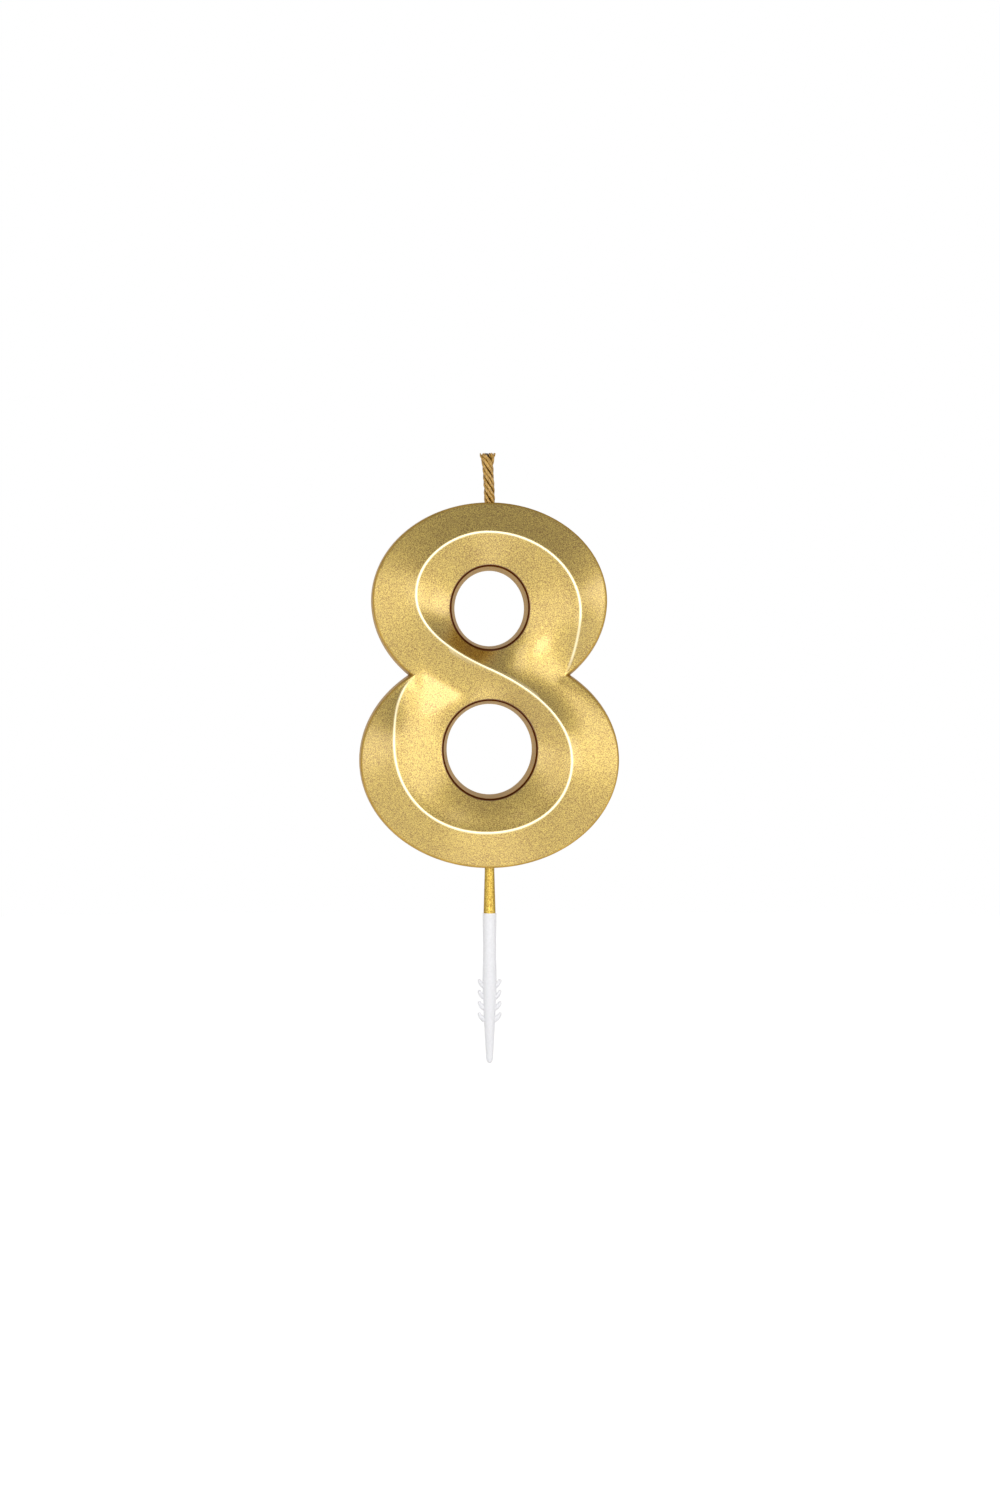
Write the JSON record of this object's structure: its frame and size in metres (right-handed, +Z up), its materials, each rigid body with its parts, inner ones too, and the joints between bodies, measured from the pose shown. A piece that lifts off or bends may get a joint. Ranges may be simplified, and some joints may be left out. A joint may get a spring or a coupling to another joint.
{
  "type": "number candle",
  "caption": "Cake candle shaped as the figure 8 with a chiselled, ridged front, a twisted wick on top and a barbed pick below.",
  "frame": {"origin": "on the pick's axis, at the shoulder between the gold stem and the white shaft, where the cake's surface comes", "axes": "+Z up through the wick, +Y out of the numeral's flat back, so the chiselled front faces -Y and the 8 reads from -Y"},
  "size_m": [0.05, 0.0121, 0.117],
  "materials": {
    "gold_wax": "satin metallic gold lacquer with fine flake, sprayed over cast paraffin wax",
    "wick_cotton": "twisted cotton, waxed and over-sprayed in the same gold",
    "pick_plastic": "moulded white plastic, with the stem above the shoulder over-sprayed in gold"
  },
  "bodies": {
    "root": {"number_body": "gold_wax", "wick_ply_1": "wick_cotton", "wick_ply_2": "wick_cotton", "wick_ply_3": "wick_cotton", "cake_pick": "pick_plastic"}
  },
  "joints": []
}
